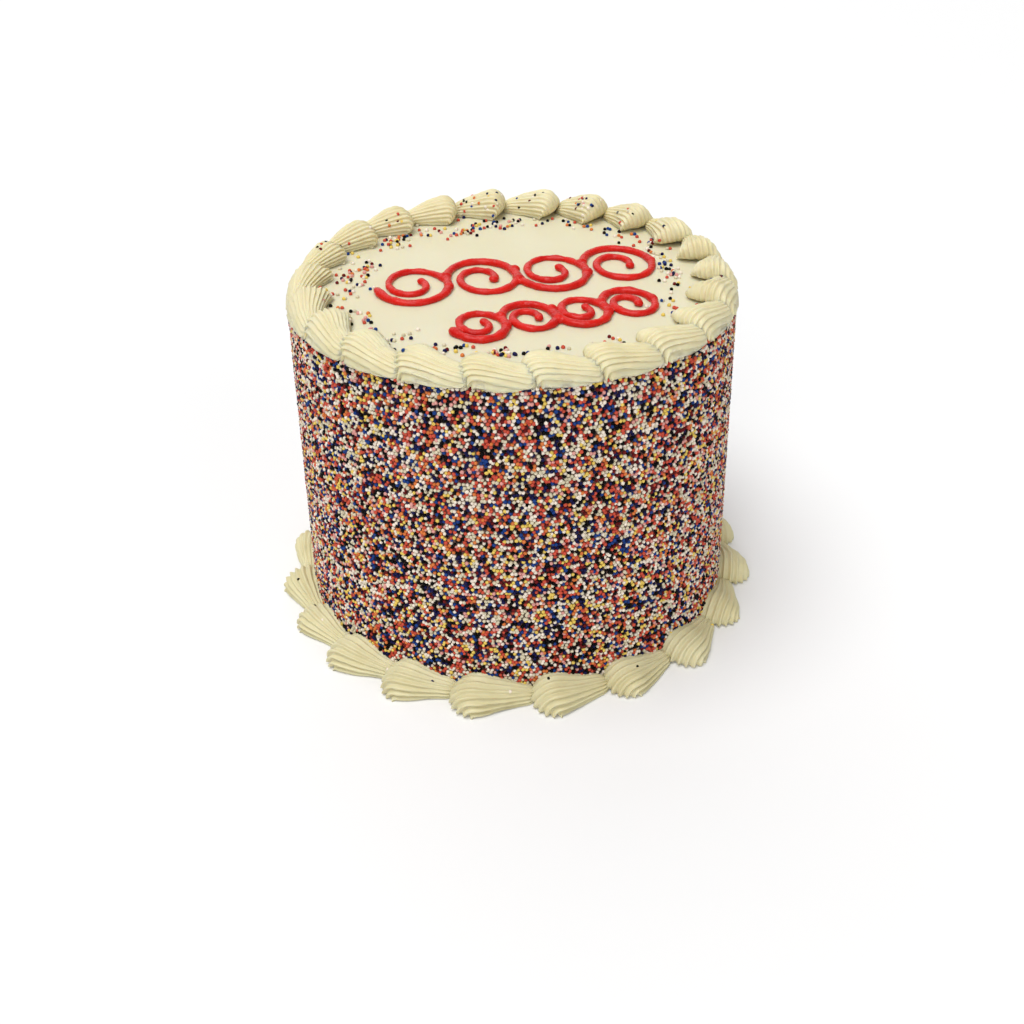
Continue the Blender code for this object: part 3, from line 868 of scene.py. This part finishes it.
def shape_of(piece):
    """Takes the modelled ball away and keeps its points, its faces' corners in one run, and their counts."""
    points = points_of(piece.data)
    corners = np.array([corner for face in piece.data.polygons for corner in face.vertices])
    counts = np.array([len(face.vertices) for face in piece.data.polygons])
    bpy.data.objects.remove(piece)
    return points, corners, counts


def turned_every_way(count):
    """Random turns as matrices, one for each ball."""
    spin = toss.normal(size=(count, 4))
    w, x, y, z = (spin / np.linalg.norm(spin, axis=1, keepdims=True)).T
    rows = [
        [1 - 2 * (y * y + z * z), 2 * (x * y - w * z), 2 * (x * z + w * y)],
        [2 * (x * y + w * z), 1 - 2 * (x * x + z * z), 2 * (y * z - w * x)],
        [2 * (x * z - w * y), 2 * (y * z + w * x), 1 - 2 * (x * x + y * y)],
    ]
    return np.array(rows)


def ball_mesh(name, batches):
    """One mesh of many balls: each batch is a modelled shape, its radius and the places that it lies at."""
    all_points, all_corners, all_counts = [], [], []
    first = 0
    for (shape, corners, counts), radius, places in batches:
        balls = len(places)
        sizes = radius * (1 + toss.uniform(-BALL_SPREAD, BALL_SPREAD, balls))
        points = np.einsum("ijn,kj->nki", turned_every_way(balls), shape) * sizes[:, None, None]
        all_points.append((points + places[:, None, :]).reshape(-1, 3))
        all_corners.append((corners[None] + first + np.arange(balls)[:, None] * len(shape)).ravel())
        all_counts.append(np.tile(counts, balls))
        first += balls * len(shape)
    points, corners, counts = (np.concatenate(run) for run in (all_points, all_corners, all_counts))
    mesh = bpy.data.meshes.new(name)
    mesh.vertices.add(len(points))
    mesh.vertices.foreach_set("co", points.ravel())
    mesh.loops.add(len(corners))
    mesh.loops.foreach_set("vertex_index", corners)
    mesh.polygons.add(len(counts))
    mesh.polygons.foreach_set("loop_start", np.cumsum(counts) - counts)
    mesh.update(calc_edges=True)
    mesh.shade_smooth()
    return mesh


def sugar_group():
    """Sugar shell: some balls a little lighter and duller than others, all with a fine grain."""
    group = bpy.data.node_groups.new("sugar shell", "ShaderNodeTree")
    sockets = group.interface
    sockets.new_socket("Color", in_out="INPUT", socket_type="NodeSocketColor")
    sockets.new_socket("Variation", in_out="INPUT", socket_type="NodeSocketFloat")
    sockets.new_socket("Color", in_out="OUTPUT", socket_type="NodeSocketColor")
    sockets.new_socket("Roughness", in_out="OUTPUT", socket_type="NodeSocketFloat")
    sockets.new_socket("Height", in_out="OUTPUT", socket_type="NodeSocketFloat")
    nodes, links = group.nodes, group.links
    given = nodes.new("NodeGroupInput")
    made = nodes.new("NodeGroupOutput")
    place = nodes.new("ShaderNodeTexCoord")
    batch = nodes.new("ShaderNodeTexNoise")
    batch.inputs["Scale"].default_value = SUGAR_BATCH_SCALE
    batch.inputs["Detail"].default_value = SUGAR_BATCH_DETAIL
    grain = nodes.new("ShaderNodeTexNoise")
    grain.inputs["Scale"].default_value = SUGAR_GRAIN_SCALE
    grain.inputs["Detail"].default_value = SUGAR_GRAIN_DETAIL
    links.new(place.outputs["Object"], batch.inputs["Vector"])
    links.new(place.outputs["Object"], grain.inputs["Vector"])
    lightness = nodes.new("ShaderNodeMath")
    lightness.operation = "MULTIPLY_ADD"
    links.new(batch.outputs["Fac"], lightness.inputs[0])
    links.new(given.outputs["Variation"], lightness.inputs[1])
    lightness.inputs[2].default_value = SUGAR_DARKEST
    shade = nodes.new("ShaderNodeHueSaturation")
    links.new(given.outputs["Color"], shade.inputs["Color"])
    links.new(lightness.outputs["Value"], shade.inputs["Value"])
    links.new(shade.outputs["Color"], made.inputs["Color"])
    polish = nodes.new("ShaderNodeMapRange")
    polish.inputs["To Min"].default_value = SUGAR_ROUGHNESS[0]
    polish.inputs["To Max"].default_value = SUGAR_ROUGHNESS[1]
    links.new(batch.outputs["Fac"], polish.inputs["Value"])
    links.new(polish.outputs["Result"], made.inputs["Roughness"])
    links.new(grain.outputs["Fac"], made.inputs["Height"])
    return group


SUGAR = sugar_group()


def sugar_material(kind, colour):
    material = bpy.data.materials.new(f"{kind} sugar")
    material.use_nodes = True
    nodes, links = material.node_tree.nodes, material.node_tree.links
    sugar = nodes.new("ShaderNodeGroup")
    sugar.node_tree = SUGAR
    sugar.inputs["Color"].default_value = colour
    sugar.inputs["Variation"].default_value = SUGAR_VARIATION
    bump = nodes.new("ShaderNodeBump")
    bump.inputs["Strength"].default_value = SUGAR_BUMP
    bump.inputs["Distance"].default_value = SUGAR_BUMP_DEPTH
    shader = nodes["Principled BSDF"]
    shader.inputs["Specular IOR Level"].default_value = SUGAR_SHINE
    links.new(sugar.outputs["Color"], shader.inputs["Base Color"])
    links.new(sugar.outputs["Roughness"], shader.inputs["Roughness"])
    links.new(sugar.outputs["Height"], bump.inputs["Height"])
    links.new(bump.outputs["Normal"], shader.inputs["Normal"])
    return material


bpy.ops.object.select_all(action="DESELECT")
bpy.ops.mesh.primitive_ico_sphere_add(subdivisions=1, radius=1.0)
pressed_ball = shape_of(bpy.context.object)
bpy.ops.mesh.primitive_uv_sphere_add(segments=STRAY_SIDES, ring_count=STRAY_RINGS, radius=1.0)
loose_ball = shape_of(bpy.context.object)

pressed_places = wall_places()
pressed_kinds = kinds_at(pressed_places)
loose_places = stray_places()
loose_kinds = kinds_at(loose_places)
for number, (kind, (_, colour)) in enumerate(BALL_KINDS.items()):
    pressed = (pressed_ball, BALL_RADIUS, pressed_places[pressed_kinds == number])
    loose = (loose_ball, STRAY_RADIUS, loose_places[loose_kinds == number])
    mesh = ball_mesh(f"{kind}_sprinkles", [pressed, loose])
    mesh.materials.append(sugar_material(kind, colour))
    sprinkles = bpy.data.objects.new(f"{kind}_sprinkles", mesh)
    bpy.context.scene.collection.objects.link(sprinkles)
    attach(sprinkles, "root")
